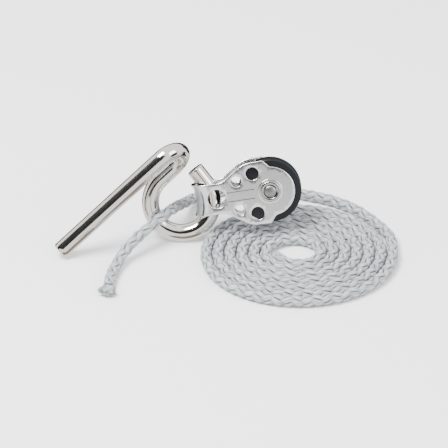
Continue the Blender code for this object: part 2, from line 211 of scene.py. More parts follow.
class Finishes(bpy.types.PropertyGroup):
    """Colours of the finishes"""

    rod: colour("Rod", "Polished stainless rod", (0.77, 0.745, 0.70))
    sheet: colour("Sheet", "Satin stainless sheet", (0.97, 0.97, 0.975))
    turned: colour("Turned", "Turned stainless", (0.60, 0.58, 0.55))
    pin: colour("Pin", "Dull steel pin", (0.30, 0.29, 0.28))
    # The engraved lines' colour, also used as painted shade in a ring at the foot of each axle
    # seat.
    engraved: colour("Engraved", "Bottom of the engraved lines", (0.16, 0.16, 0.16))
    wheel: colour("Wheel", "Black sheave", (0.006, 0.007, 0.009))
    race: colour("Race", "Moulded race", (0.05, 0.05, 0.055))
    ball: colour("Ball", "Ground ball", (0.75, 0.74, 0.70))
    strand: colour("Strand", "Silver-grey fibre", (0.41, 0.425, 0.445))
    # Painted shade: a near-black tube inside the braid stands for the shade seen between the
    # strands.
    core: colour("Core", "Shade inside the braid", (0.06, 0.063, 0.066))
    melted: colour("Melted end", "Melted fibre", (0.12, 0.125, 0.13))
    floor: colour("Floor", "Pale floor", (0.96, 0.96, 0.96))


# Surfaces


def unit(vectors):
    """Each vector divided by its length."""
    return vectors / np.linalg.norm(vectors, axis=-1, keepdims=True)


def grid(points, wrap_rows=False, wrap_columns=True):
    """A grid of points (rows, columns, 3) as vertices, quads and the quads' corner positions."""
    rows, columns = points.shape[:2]
    i = np.arange(rows if wrap_rows else rows - 1)
    j = np.arange(columns if wrap_columns else columns - 1)
    i, j = np.meshgrid(i, j, indexing="ij")
    i = np.stack([i, i, i + 1, i + 1], -1).reshape(-1, 4)
    j = np.stack([j, j + 1, j + 1, j], -1).reshape(-1, 4)
    return points.reshape(-1, 3), (i % rows) * columns + j % columns, np.stack([i, j], -1)


def joined(parts):
    """Several (vertices, faces) pairs as one pair."""
    starts = np.cumsum([0] + [len(points) for points, _ in parts[:-1]])
    faces = [face for (_, part), start in zip(parts, starts) for face in (part + start).tolist()]
    return np.concatenate([points for points, _ in parts]), faces


def linked(name, data):
    """A new object with this data, in the scene."""
    obj = bpy.data.objects.new(name, data)
    bpy.context.scene.collection.objects.link(obj)
    return obj


def piece(name, points, faces, material, corners=None, crease=40.0, merge=1e-7, painted_shade_depth=None):
    """A mesh object of these vertices and faces, its doubles merged and its faces outwards.

    Faces that meet at more than crease degrees meet in a sharp edge. corners, where given, is
    the map position of each face corner, in face order. The last argument, where given, is how
    deep each vertex lies in a weave, from 0 to 1, kept as an attribute for painted shade.
    """
    mesh = bpy.data.meshes.new(name)
    mesh.from_pydata(np.asarray(points).tolist(), [], [list(face) for face in faces])
    if corners is not None:
        layer = mesh.uv_layers.new(name="along")
        layer.data.foreach_set("uv", np.asarray(corners, np.float32).ravel())
    if painted_shade_depth is not None:
        mesh.attributes.new("painted_shade_depth", "FLOAT", "POINT").data.foreach_set("value", painted_shade_depth)
    shape = bmesh.new()
    shape.from_mesh(mesh)
    bmesh.ops.remove_doubles(shape, verts=shape.verts, dist=merge)
    bmesh.ops.recalc_face_normals(shape, faces=shape.faces)
    shape.to_mesh(mesh)
    shape.free()
    mesh.polygons.foreach_set("use_smooth", [True] * len(mesh.polygons))
    mesh.set_sharp_from_angle(angle=math.radians(crease))
    mesh.materials.append(material)
    return linked(name, mesh)


def rectangle(name, width, height, material):
    """A flat piece about the origin."""
    x, y = width / 2, height / 2
    corners = np.array([[-x, -y, 0], [x, -y, 0], [x, y, 0], [-x, y, 0]])
    return piece(name, corners, [[0, 1, 2, 3]], material)


def fitted(obj, body, slot, *nodes):
    """Puts a finished piece on its body, in place of its CAD nodes."""
    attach(obj, body)
    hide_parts(*nodes)


def tube(path, radii, normal, steps):
    """Circles of the given radii carried along a path.

    Each circle lies across the path, turned so that its first point is square to the normal.
    """
    tangent = unit(np.gradient(path, axis=0))
    side = unit(np.cross(normal, tangent))
    out = np.cross(tangent, side)
    angle = np.linspace(0, 2 * np.pi, steps, endpoint=False)[None, :, None]
    ring = side[:, None] * np.cos(angle) + out[:, None] * np.sin(angle)
    return grid(path[:, None] + radii[:, None, None] * ring)


def turned(profile, steps=96, closed=True):
    """A profile of (radius, height) points carried round the block's axle.

    A point goes to radius times (cos, sin) of the angle, at its height, in the block's directions.
    """
    radius, height = np.asarray(profile, float).T[:, :, None]
    angle = np.linspace(0, 2 * np.pi, steps, endpoint=False)
    points = np.stack(
        [radius * np.cos(angle), radius * np.sin(angle), height + 0 * angle], axis=-1
    )
    return grid(on_block(points), wrap_rows=closed)[:2]


def on_block(points):
    """Points along, across and out of the block, moved to where the block lies."""
    return AXLE_PLACE + points @ BLOCK_AXES


def arc(centre, radius, start, end, steps):
    """Points of a flat arc, both ends included."""
    angle = np.linspace(start, end, steps + 1)
    return np.stack(
        [centre[0] + radius * np.cos(angle), centre[1] + radius * np.sin(angle)], axis=-1
    )


def through(points, step):
    """Points about one step apart on a smooth curve through the given ones.

    Between two points the curve is a cubic whose end slopes are half the chord of the neighbours.
    """
    points = np.asarray(points, float)
    ends = np.concatenate([[2 * points[0] - points[1]], points, [2 * points[-1] - points[-2]]])
    pieces = []
    for p0, p1, p2, p3 in zip(ends, ends[1:], ends[2:], ends[3:]):
        count = max(2, round(np.linalg.norm(p2 - p1) / step))
        t = np.linspace(0, 1, count, endpoint=False)[:, None]
        square = 2 * p0 - 5 * p1 + 4 * p2 - p3
        cube = 3 * p1 - p0 - 3 * p2 + p3
        pieces.append(p1 + (p2 - p0) * t / 2 + square * t**2 / 2 + cube * t**3 / 2)
    return np.concatenate([*pieces, points[-1:]])


def evenly(path, step):
    """The same path with its points evenly spaced, and the distance along it of each."""
    along = np.concatenate([[0], np.cumsum(np.linalg.norm(np.diff(path, axis=0), axis=1))])
    distance = np.linspace(0, along[-1], round(along[-1] / step) + 1)
    return np.stack([np.interp(distance, along, axis) for axis in path.T], -1), distance


# Finishes


def node(material, kind, **inputs):
    """A new node with these input values. An underscore stands for a space in an input's name."""
    made = material.node_tree.nodes.new(kind)
    for name, value in inputs.items():
        made.inputs[name.replace("_", " ")].default_value = value
    return made


def finish(name, base, metallic, roughness, grain, scale, bump, stretch=(1, 1, 1), where="Object"):
    """A surface whose roughness and height vary with a fine noise.

    The roughness goes up and down by grain, and the height by bump metres. The noise reads the
    piece's own place, or its map where the pattern follows the surface, times stretch.
    """
    material = bpy.data.materials.new(name)
    material.use_nodes = True
    links = material.node_tree.links
    shader = material.node_tree.nodes["Principled BSDF"]
    shader.inputs["Metallic"].default_value = metallic
    shader.inputs["Base Color"].default_value = (*base, 1)
    place = node(material, "ShaderNodeTexCoord")
    mapping = node(material, "ShaderNodeMapping", Scale=stretch)
    noise = node(material, "ShaderNodeTexNoise", Scale=scale, Detail=4.0)
    spread = node(
        material, "ShaderNodeMapRange", To_Min=roughness - grain, To_Max=roughness + grain
    )
    height = node(material, "ShaderNodeBump", Strength=1.0, Distance=bump)
    links.new(place.outputs[where], mapping.inputs["Vector"])
    links.new(mapping.outputs["Vector"], noise.inputs["Vector"])
    links.new(noise.outputs["Fac"], spread.inputs["Value"])
    links.new(spread.outputs["Result"], shader.inputs["Roughness"])
    links.new(noise.outputs["Fac"], height.inputs["Height"])
    links.new(height.outputs["Normal"], shader.inputs["Normal"])
    return material


def two_tone(material, dark, light, low, high):
    """Runs the finish's noise between two colours."""
    nodes, links = material.node_tree.nodes, material.node_tree.links
    noise = next(n for n in nodes if n.bl_idname == "ShaderNodeTexNoise")
    ramp = node(material, "ShaderNodeValToRGB")
    ramp.color_ramp.elements[0].position = low
    ramp.color_ramp.elements[0].color = (*dark, 1)
    ramp.color_ramp.elements[1].position = high
    ramp.color_ramp.elements[1].color = (*light, 1)
    links.new(noise.outputs["Fac"], ramp.inputs["Fac"])
    links.new(ramp.outputs["Color"], nodes["Principled BSDF"].inputs["Base Color"])
    return material


def painted_weave_shade(material, shade):
    """Paints shade on the finish: darkens its colour where the strands lie deep in the weave, by
    the depth attribute.
    """
    nodes, links = material.node_tree.nodes, material.node_tree.links
    base = nodes["Principled BSDF"].inputs["Base Color"]
    ramp = base.links[0].from_node
    painted_shade_depth = node(material, "ShaderNodeAttribute")
    painted_shade_depth.attribute_name = "painted_shade_depth"
    mix = nodes.new("ShaderNodeMixRGB")
    mix.blend_type = "MULTIPLY"
    mix.inputs["Color2"].default_value = (*shade, 1)
    links.new(painted_shade_depth.outputs["Fac"], mix.inputs["Fac"])
    links.new(ramp.outputs["Color"], mix.inputs["Color1"])
    links.new(mix.outputs["Color"], base)


# Operators


class MakeStage(bpy.types.Operator):
    """Make the pale floor, the studio's lights and cards, and the camera"""

    bl_idname = "block.stage"
    bl_label = "Stage"

    def execute(self, context):
        scene = context.scene
        pale = finish("floor_pale", scene.block_finishes.floor, **MATT)
        floor = rectangle("floor", FLOOR_WIDTH, FLOOR_WIDTH, pale)
        floor.visible_glossy = False

        world = bpy.data.worlds.new("studio")
        world.use_nodes = True
        background = world.node_tree.nodes["Background"]
        background.inputs["Color"].default_value = (1, 1, 1, 1)
        background.inputs["Strength"].default_value = WORLD_LIGHT
        scene.world = world

        for name, place, aim, size, power in LIGHTS:
            light = bpy.data.lights.new(name, "AREA")
            light.shape = "RECTANGLE"
            light.size, light.size_y = size
            light.energy = power
            self.aimed(linked(name, light), place, aim)
        for name, place, aim, size, tone in CARDS:
            card = rectangle(name, *size, finish(f"{name}_paper", tone, **MATT))
            card.visible_camera = card.visible_diffuse = card.visible_shadow = False
            self.aimed(card, place, aim)

        camera = bpy.data.cameras.new("camera")
        camera.lens, camera.sensor_width = CAMERA_LENS, CAMERA_SENSOR
        camera.clip_start = CAMERA_NEAR
        scene.camera = self.aimed(linked("camera", camera), CAMERA_PLACE, CAMERA_AIM)
        return {"FINISHED"}

    @staticmethod
    def aimed(obj, place, aim):
        """The object at a place, its local -Z turned to the aim."""
        obj.location = place
        toward = Vector(aim) - Vector(place)
        obj.rotation_euler = toward.to_track_quat("-Z", "Y").to_euler()
        return obj


class MakeLine(bpy.types.Operator):
    """Make the braided line, coiled flat with its tail led through the hook, and its melted end"""

    bl_idname = "block.line"
    bl_label = "Line"

    STEP = 0.00082  # between two sections of a strand
    SIDES = 8
    SPIRAL_POINTS = 900
    ROUTE_STEP = 0.0005
    CORE_STEP = 0.002
    CORE_SIDES = 8
    CORE_SHARE = 0.27  # the core's radius, over the line's diameter
    MAP_SCALE = 100  # map units in a metre of the line
    MAP_SHIFT = 3.7  # from one strand's map to the next one's
    SHADOW, SHINE = 0.60, 1.15  # the fibre's two tones, over its colour
    # Painted shade: the colour that a strand's colour is multiplied towards where it lies deep in
    # the weave.
    PAINTED_WEAVE_SHADE = (0.10, 0.105, 0.115)
    PAINTED_SHADE_FROM = 0.00196  # how far from the line's middle a strand starts to take painted shade
    PAINTED_SHADE_OVER = 0.00085  # over what depth the painted shade deepens
    END_REACH = 0.0019  # from the line's last point to the middle of its melted end
    END_HEIGHT = 0.0022
    END_HALF = (0.0031, 0.0022, 0.0022)  # across the line, upright and along it
    END_LOWEST = 0.00005

    def execute(self, context):
        sizes, finishes = context.scene.block_line, context.scene.block_finishes
        path, distance = evenly(self.route(sizes), self.STEP)
        strands, corners, painted_shade_depth = self.braid(sizes, path, distance)
        # A near-black tube inside the braid: painted shade seen between the strands.
        core_path, _ = evenly(path, self.CORE_STEP)
        radii = np.full(len(core_path), sizes.diameter * self.CORE_SHARE)
        radii[0] = radii[-1] = 0
        core = tube(core_path, radii, (0, 0, 1), self.CORE_SIDES)
        core_points, core_faces, core_corners = core

        fibre = finish(
            "line_fibre",
            finishes.strand,
            metallic=0.0,
            roughness=0.55,
            grain=0.1,
            scale=5.0,
            bump=0.00012,
            stretch=(0.5, 2.6, 1),
            where="UV",
        )
        shadow = tuple(self.SHADOW * c for c in finishes.strand)
        shine = tuple(min(1, self.SHINE * c) for c in finishes.strand)
        two_tone(fibre, shadow, shine, low=0.36, high=0.60)
        # Painted shade on the strands where they lie deep in the weave.
        painted_weave_shade(fibre, self.PAINTED_WEAVE_SHADE)
        dark = finish(
            "line_core_painted_shade",
            finishes.core,
            metallic=0.0,
            roughness=0.9,
            grain=0.05,
            scale=900.0,
            bump=0.0,
        )
        points, faces = joined([strands, (core_points, core_faces)])
        painted_shade_depth = np.concatenate([painted_shade_depth, np.ones(len(core_points))])
        corners = np.concatenate([corners, core_corners.reshape(-1, 2)])
        line = piece("line", points, faces, fibre, corners, crease=180, painted_shade_depth=painted_shade_depth)
        line.data.materials.append(dark)
        # The core tube's faces take the near-black finish, painted shade inside the braid.
        shaded = np.zeros(len(line.data.polygons), np.int32)
        shaded[-len(core_faces) :] = 1
        line.data.polygons.foreach_set("material_index", shaded)
        fitted(line, "hook_and_line", "braid", "rope_coil", "rope_tail")

        end = self.melted_end(path, finishes)
        fitted(end, "hook_and_line", "braid", "rope_tail_end")
        return {"FINISHED"}

    def route(self, sizes):
        """A flat spiral outwards, a few points that leave it, and the tail's points.

        The spiral's radius grows by one diameter in each turn.
        """
        angle = np.linspace(COIL_START, 2 * np.pi * COIL_TURNS, self.SPIRAL_POINTS)
        radius = sizes.first_turn + sizes.diameter * angle / (2 * np.pi)
        centre = RING_PLACE[:2] + COIL_CENTRE
        spiral = centre + np.stack([radius * np.cos(angle), radius * np.sin(angle)], -1)
        spiral = np.column_stack([spiral, np.full(len(spiral), sizes.diameter / 2)])
        leaving = [
            (
                centre[0] + radius * math.cos(math.radians(turn)),
                centre[1] + radius * math.sin(math.radians(turn)),
                sizes.diameter / 2,
            )
            for radius, turn in COIL_EXIT
        ]
        tail = np.array(TAIL_ROUTE) + (*RING_PLACE[:2], 0)
        loose = through([spiral[-1], *leaving, *tail], self.ROUTE_STEP)
        return np.concatenate([spiral[:-1], loose])

    def braid(self, sizes, path, distance):
        """Strands that turn round the line both ways, each over one and under one.

        A strand's angle grows by a full turn in each lay. Its distance from the middle is a mean
        plus the weave times the cosine of half a turn for each strand that it crosses. Its
        section is an ellipse bent round the line, flat against it.
        """
        count = sizes.strands
        tangent = unit(np.gradient(path, axis=0))
        across = unit(np.cross((0, 0, 1), tangent))[:, None]
        up = np.cross(tangent, across[:, 0])[:, None]
        number = np.arange(count)[:, None]
        mean = sizes.diameter / 2 - sizes.strand_depth - sizes.weave
        turn = np.linspace(0, 2 * np.pi, self.SIDES, endpoint=False)
        full = np.ones(len(path))
        full[0] = full[-1] = 0
        strands, painted_shade_depth = [], []
        for hand in (1, -1):
            angle = 2 * np.pi * (number / count + hand * distance / sizes.lay)
            wave = np.cos(2 * np.pi * count * distance / sizes.lay)
            reach = (mean + hand * sizes.weave * wave)[:, None]
            reach = reach + full[:, None] * sizes.strand_depth * np.sin(turn)
            spread = full[:, None] * sizes.strand_spread * np.cos(turn)
            angle = (angle[..., None] + spread)[..., None]
            radial = np.cos(angle) * across + np.sin(angle) * up
            strands.append(path[:, None] + reach[..., None] * radial)
            # Painted shade: 0 at the strands' tops, up to 1 where they lie deep under a crossing or
            # at their edges; this darkens their colour.
            depth = np.clip((self.PAINTED_SHADE_FROM - reach) / self.PAINTED_SHADE_OVER, 0, 1)
            painted_shade_depth.append(np.tile(depth.ravel(), count))
        parts = [grid(strand) for strand in np.concatenate(strands)]
        size = (self.MAP_SCALE * (distance[1] - distance[0]), 1 / self.SIDES)
        corners = [
            part[2].reshape(-1, 2) * size + (self.MAP_SHIFT * order, 0)
            for order, part in enumerate(parts)
        ]
        braided = joined([part[:2] for part in parts])
        return braided, np.concatenate(corners), np.concatenate(painted_shade_depth)

    def melted_end(self, path, finishes):
        """A ball drawn out across the line's end, its radius swelled by a few long waves."""
        way = unit(path[-1] - path[-4])
        side = np.cross((0, 0, 1), way)
        centre = path[-1] + way * self.END_REACH
        centre[2] = self.END_HEIGHT
        polar, turn = np.meshgrid(
            np.linspace(0, np.pi, 25), np.linspace(0, 2 * np.pi, 36, endpoint=False), indexing="ij"
        )
        waves = (
            0.10 * np.sin(3 * turn + 2 * np.cos(2 * polar))
            + 0.09 * np.sin(4 * polar + 1.3)
            + 0.07 * np.sin(5 * turn + 3 * polar)
        )
        radius = (0.90 + waves * np.sin(polar))[..., None]
        across, upright, along = self.END_HALF
        points = centre + radius * (
            across * np.sin(polar)[..., None] * np.cos(turn)[..., None] * side
            + upright * np.sin(polar)[..., None] * np.sin(turn)[..., None] * np.array([0, 0, 1.0])
            + along * np.cos(polar)[..., None] * way
        )
        points[..., 2] = np.maximum(points[..., 2], self.END_LOWEST)
        melted = finish(
            "line_melted",
            finishes.melted,
            metallic=0.0,
            roughness=0.45,
            grain=0.1,
            scale=900.0,
            bump=0.0002,
        )
        two_tone(melted, finishes.melted, finishes.strand, low=0.35, high=0.75)
        return piece("line_melted_end", *grid(points)[:2], melted)


class MakeHook(bpy.types.Operator):
    """Make the hook from one bent rod"""

    bl_idname = "block.hook"
    bl_label = "Hook"

    SIDES = 48
    RING_STEPS = 120
    BEND_STEPS = 60
    EDGE_STEPS = 6
    FACE_STEPS = (2e-7, 1e-7)  # keep the points of a cut face apart along the rod
    FACE_SHARE = 0.5  # the inner circle of a cut face, over its rim

    def execute(self, context):
        sizes, finishes = context.scene.block_hook, context.scene.block_finishes
        path = self.centreline(sizes)
        radii = np.full(len(path), sizes.rod_radius)
        path, radii = self.rounded_ends(path, radii, sizes.edge)
        roll = np.array(
            [
                [math.cos(HOOK_ROLL), math.sin(HOOK_ROLL), 0],
                [-math.sin(HOOK_ROLL), math.cos(HOOK_ROLL), 0],
                [0, 0, 1],
            ]
        )
        lean = np.array(
            [
                [1, 0, 0],
                [0, math.sin(HOOK_LEAN), math.cos(HOOK_LEAN)],
                [0, -math.cos(HOOK_LEAN), math.sin(HOOK_LEAN)],
            ]
        )
        points, faces, _ = tube(path, radii, (0, 0, 1), self.SIDES)
        points = RING_PLACE + points @ roll @ lean
        steel = finish(
            "rod_polished",
            finishes.rod,
            metallic=1.0,
            roughness=0.085,
            grain=0.03,
            scale=900.0,
            bump=0.0000015,
        )
        rod = piece("hook_rod", points, faces, steel, crease=50)
        fitted(rod, "hook_and_line", "hook_steel", "hook")
        return {"FINISHED"}

    def centreline(self, sizes):
        """The rod's middle: a straight stub, the ring's arc, a return, a half-turn and the leg."""
        start = math.pi / 2 + sizes.ring_sweep
        ring = arc((0, 0), sizes.ring_radius, start, math.pi / 2, self.RING_STEPS)
        ring = np.column_stack([ring, np.zeros(len(ring))])
        away = np.array([-math.sin(start), math.cos(start), 0])
        stub = ring[0] + away * np.linspace(sizes.stub, 0, 8, endpoint=False)[:, None]
        half = sizes.bend / 2
        side = np.array([0, math.cos(sizes.twist), math.sin(sizes.twist)]) * half
        back = ring[-1] + np.linspace(0, sizes.back, 9)[1:-1, None] * (1, 0, 0)
        middle = ring[-1] + (sizes.back, 0, 0) + side
        turn = arc((0, 0), 1, 0, math.pi, self.BEND_STEPS)
        bend = middle + turn[:, 1:] * (half, 0, 0) - turn[:, :1] * side
        leg = bend[-1] - np.linspace(0, sizes.leg, 30)[1:, None] * (1, 0, 0)
        return np.concatenate([stub, ring, back, bend, leg])

    def rounded_ends(self, path, radii, edge):
        """Closes both ends with a flat face and a quarter-round edge."""
        turn = np.linspace(0, np.pi / 2, self.EDGE_STEPS)
        for _ in range(2):
            way = unit(path[1] - path[0])
            start = path[0]
            inset = edge * (1 - np.sin(turn))[:, None]
            rim = radii[0] - edge * (1 - np.cos(turn[::-1]))
            face = start - way * np.array(self.FACE_STEPS)[:, None]
            path = np.concatenate([face, start + (edge - inset) * way, path[1:]])
            radii = np.concatenate([[0, rim[0] * self.FACE_SHARE], rim, radii[1:]])
            path, radii = path[::-1], radii[::-1]
        return path, radii


class MakeStrap(bpy.types.Operator):
    """Make the folded strap, with its holes, its axle seats and its two engraved lines"""

    bl_idname = "block.strap"
    bl_label = "Strap"

    # In millimetres, along and across the block from the axle.
    SWEEP_RADIUS = 17.0
    SWEEP_AXIS = -38.2  # where the axis lies that the saddle is swept round
    FOLD_DEPTH = 3.9  # from the fold's centre line to the inside of the saddle
    FOLD_LENGTH = 4.7  # of the fold for each radian
    FOLD_BULGE = 0.1  # how much wider the sheet is in the middle of the fold
    OUTLINE_STEP = 0.22
    EDGE_STEPS = 6
    FOLD_MESH = (48, 17)  # points round the fold and across it
    FOLD_HALF = 4.9  # half the width that those points cover
    FOLD_MARGIN = 0.5  # how far they go on to the cheeks
    CHEEK_MESH = 1.3  # between two points inside a cheek
    CHEEK_MARGIN = 1.0  # from the fold to the first of them
    CLEARANCE = 0.3  # from any edge to the nearest such point
    # Along, across and radius of each hole in a cheek.
    HOLES = (
        (-18.9, 0.0, 3.3),
        (-11.4, 5.1, 1.87),
        (-11.4, -5.1, 1.87),
        (-5.4, 7.1, 2.3),
        (-5.4, -7.1, 2.3),
    )
    # Radius and level of the axle's seat, level being 1 at the sheet's outside and 0 at its inside.
    SEAT = (
        (4.44, 1.0),
        (4.42, 1.06),
        (4.38, 1.13),
        (4.30, 1.18),
        (4.20, 1.20),
        (3.16, 1.20),
        (3.05, 1.16),
        (3.00, 1.05),
        (3.00, 0.12),
        (3.10, 0.0),
    )
    LINES = (-15.0, -5.7, 1.6)  # start, end and distance from the middle
    LINE_HALF = (0.15, 0.09)  # half widths at the face and at the bottom
    LINE_DEPTH = 0.14  # over the sheet's thickness
    SEAT_PAINTED_SHADE_ROWS = 2  # rows of faces at the seat's foot that take the engraved lines' dark finish as painted shade

    def execute(self, context):
        self.sizes, finishes = context.scene.block_sizes, context.scene.block_finishes
        self.half_gap = self.sizes.gap / 2 * MM
        self.sheet = self.sizes.thickness * MM
        walls, shaded, outside, inside = self.walls()
        points, quads = joined([*walls, self.filled(outside, 1.0), self.filled(inside, 0.0)])
        satin = finish(
            "sheet_satin",
            finishes.sheet,
            metallic=1.0,
            roughness=0.19,
            grain=0.03,
            scale=700.0,
            bump=0.000002,
        )
        engraved = finish(
            "sheet_engraved_and_painted_shade",
            finishes.engraved,
            metallic=0.8,
            roughness=0.5,
            grain=0.05,
            scale=900.0,
            bump=0.000002,
        )
        strap = piece("strap_sheet", points, quads, satin, merge=3e-6, crease=35)
        strap.data.materials.append(engraved)
        for face in shaded:
            strap.data.polygons[face].material_index = 1
        fitted(strap, "block", "strap_steel", "strap")
        return {"FINISHED"}

    def walls(self):
        """Every surface of the sheet but its two faces, and which of their quads are shaded.

        The last two results are the loops that bound the sheet's outside and inside faces. The
        shaded quads are the engraved lines and, as painted shade, the first rows at each seat's
        foot.
        """
        edge, hole_edge = self.sizes.edge * MM, self.sizes.hole_edge * MM
        outline = self.outline()
        inward = self.inward(outline)
        walls, shaded = [self.rim(outline, inward, edge)], []
        outside, inside = [outline + edge * inward], [outline + edge * inward]
        for cheek in (1, -1):
            for x, y, radius in self.HOLES:
                circle = self.circle(x, y, radius, cheek)
                away = self.circle(x, y, radius + hole_edge, cheek) - circle
                walls.append(self.rim(circle, away / hole_edge, hole_edge))
                outside.append(circle + away)
                inside.append(circle + away)
            rings = [self.circle(0, 0, radius, cheek) for radius, _ in self.SEAT]
            levels = [np.full(len(ring), level) for ring, (_, level) in zip(rings, self.SEAT)]
            # Painted shade: the first rows at each seat's foot take the dark engraved finish, a
            # dark ring round the raised seat.
            start = self.count(walls)
            shaded += range(start, start + self.SEAT_PAINTED_SHADE_ROWS * len(rings[0]))
            walls.append(grid(self.folded(np.stack(rings), np.stack(levels)))[:2])
            outside.append(rings[0])
            inside.append(rings[-1])
        start = self.count(walls)
        for side in (1, -1):
            groove = [self.groove_loop(side, half) for half in self.LINE_HALF]
            outside.append(groove[0])
            depth = np.array([1.0, 1.0 - self.LINE_DEPTH])[:, None] + np.zeros(4)
            points = self.folded(np.stack(groove), depth)
            walls.append(grid(points)[:2])
            walls.append((points[1], np.array([[0, 1, 2, 3]])))
        shaded += range(start, self.count(walls))
        return walls, shaded, outside, inside

    @staticmethod
    def count(parts):
        """How many faces the parts have together."""
        return sum(len(quads) for _, quads in parts)

    def outline(self):
        """The flat sheet's edge, one closed loop of (along, across) in millimetres.

        Along is counted from where a cheek ends and the fold starts.
        """
        crown, shoulder, neck = (
            MM * value for value in (self.sizes.crown, self.sizes.shoulder, self.sizes.neck)
        )
        top = arc((0, 0), crown, 0, math.radians(80), 40)
        # Each corner's along and across, and the radius that rounds it.
        corners = [
            (*top[-1], 0),
            (0.8, crown + 0.1, 0.7),
            (-1.2, shoulder, 1.0),
            (-8.0, shoulder - 0.2, 8.0),
            (-16.7, neck, 5.0),
            (-30.1, neck + 0.3, 0),
        ]
        flank = [top]
        for before, corner, after in zip(corners, corners[1:], corners[2:]):
            flank.append(self.rounded(before, corner, after))
        upper, _ = evenly(np.concatenate([*flank, [corners[-1][:2]]]), self.OUTLINE_STEP)
        cheek = np.hypot(upper[:, 0] - self.SWEEP_AXIS, upper[:, 1]) - self.SWEEP_RADIUS
        upper = np.column_stack([cheek, upper[:, 1]])[cheek > 0.15]
        turn = np.linspace(0, np.pi, 61)
        width = upper[-1, 1] + self.FOLD_BULGE * np.sin(turn)
        fold = np.column_stack([-self.FOLD_LENGTH * turn, width])
        far = np.column_stack([-self.FOLD_LENGTH * np.pi - upper[:, 0], upper[:, 1]])[::-1]
        side = np.concatenate([upper, fold, far])
        return np.concatenate([side, side[-2:0:-1] * (1, -1)])

    @staticmethod
    def rounded(before, corner, after, steps=12):
        """The points of the arc that rounds one corner (x, y, radius) of an outline."""
        here, radius = np.array(corner[:2]), corner[2]
        back, on = unit(np.array(before[:2]) - here), unit(np.array(after[:2]) - here)
        half = math.acos(np.clip(back @ on, -1, 1)) / 2
        centre = here + unit(back + on) * radius / math.sin(half)
        first = here + back * radius / math.tan(half) - centre
        last = here + on * radius / math.tan(half) - centre
        start = math.atan2(first[1], first[0])
        sweep = math.atan2(first[0] * last[1] - first[1] * last[0], first @ last)
        return arc(centre, radius, start, start + sweep, steps)

    @staticmethod
    def inward(loop):
        """Unit directions square to a loop that runs anticlockwise, to its left."""
        way = unit(np.roll(loop, -1, axis=0) - np.roll(loop, 1, axis=0))
        return np.column_stack([-way[:, 1], way[:, 0]])

    def circle(self, x, y, radius, cheek, steps=64):
        """A circle on a cheek, in the flat sheet's (along, across)."""
        round_hole = arc((x, y), radius, 0, 2 * math.pi, steps)[:-1]
        along = np.hypot(round_hole[:, 0] - self.SWEEP_AXIS, round_hole[:, 1])
        along = along - self.SWEEP_RADIUS
        if cheek < 0:
            along = -self.FOLD_LENGTH * np.pi - along
        return np.column_stack([along, round_hole[:, 1]])

    def groove_loop(self, side, half):
        """The four corners of an engraved line that is twice half wide."""
        start, end, offset = self.LINES
        y = side * offset + np.array([-half, -half, half, half])
        x = np.array([start - half, end + half, end + half, start - half])
        along = np.hypot(x - self.SWEEP_AXIS, y) - self.SWEEP_RADIUS
        return np.column_stack([along, y])

    def rim(self, loop, inward, edge):
        """The sheet's edge along a loop: a quarter round, a flat and a quarter round."""
        turn = np.linspace(0, np.pi / 2, self.EDGE_STEPS)
        inset, level = edge * (1 - np.sin(turn)), 1 - edge / self.sheet * (1 - np.cos(turn))
        inset = np.concatenate([inset, inset[::-1]])
        level = np.concatenate([level, 1 - level[::-1]])
        rows = loop + inset[:, None, None] * inward
        return grid(self.folded(rows, level[:, None] + np.zeros(len(loop))))[:2]

    def folded(self, flat, level):
        """Carries points of the flat sheet to where the folded strap has them.

        Level runs from 0 at the sheet's inside to 1 at its outside. On a cheek, along is the
        distance from the sweep's axis. In the fold the section is a half ellipse, and the whole
        section is swept round that axis so that the saddle is hollow both ways.
        """
        along, across = flat[..., 0], flat[..., 1]
        turn = np.clip(-along / self.FOLD_LENGTH, 0, np.pi)
        past = np.maximum(along, 0) + np.maximum(-along - self.FOLD_LENGTH * np.pi, 0)
        depth = self.FOLD_DEPTH + level * self.sheet
        radius = self.SWEEP_RADIUS + past - depth * np.sin(turn)
        out = (self.half_gap + level * self.sheet) * np.cos(turn)
        x = self.SWEEP_AXIS + np.sqrt(radius**2 - across**2)
        return on_block(np.stack([x, across, out], axis=-1) / MM)

    def filled(self, loops, level):
        """A face of the sheet between its loops, in small triangles where it is folded."""
        first, last = -self.FOLD_LENGTH * np.pi, 0
        fine = self.lattice(
            np.linspace(first - self.FOLD_MARGIN, last + self.FOLD_MARGIN, self.FOLD_MESH[0]),
            np.linspace(-self.FOLD_HALF, self.FOLD_HALF, self.FOLD_MESH[1]),
        )
        low, high = loops[0].min(0), loops[0].max(0)
        coarse = self.lattice(
            np.arange(low[0], high[0], self.CHEEK_MESH), np.arange(low[1], high[1], self.CHEEK_MESH)
        )
        before = coarse[:, 0] < first - self.CHEEK_MARGIN
        after = coarse[:, 0] > last + self.CHEEK_MARGIN
        coarse = coarse[before | after]
        coarse = coarse[self.inside(coarse, loops)]
        loose = np.concatenate([fine, coarse])
        far = np.ones(len(loose), bool)
        for loop in loops:
            gap = np.linalg.norm(loose[:, None] - loop[None], axis=-1).min(1)
            far &= gap > self.CLEARANCE
        loose = loose[far]
        points = np.concatenate([*loops, loose])
        starts = np.cumsum([0] + [len(loop) for loop in loops[:-1]])
        edges = [
            (start + i, start + (i + 1) % len(loop))
            for loop, start in zip(loops, starts)
            for i in range(len(loop))
        ]
        points, _, triangles, *_ = delaunay_2d_cdt(points.tolist(), edges, [], 0, 1e-5, False)
        points = np.array([tuple(point) for point in points])
        triangles = np.array([tuple(triangle) for triangle in triangles])
        triangles = triangles[self.inside(points[triangles].mean(1), loops)]
        return self.folded(points, np.full(len(points), level)), triangles

    @staticmethod
    def lattice(x, y):
        """Every pair of an x and a y."""
        return np.stack(np.meshgrid(x, y), -1).reshape(-1, 2)

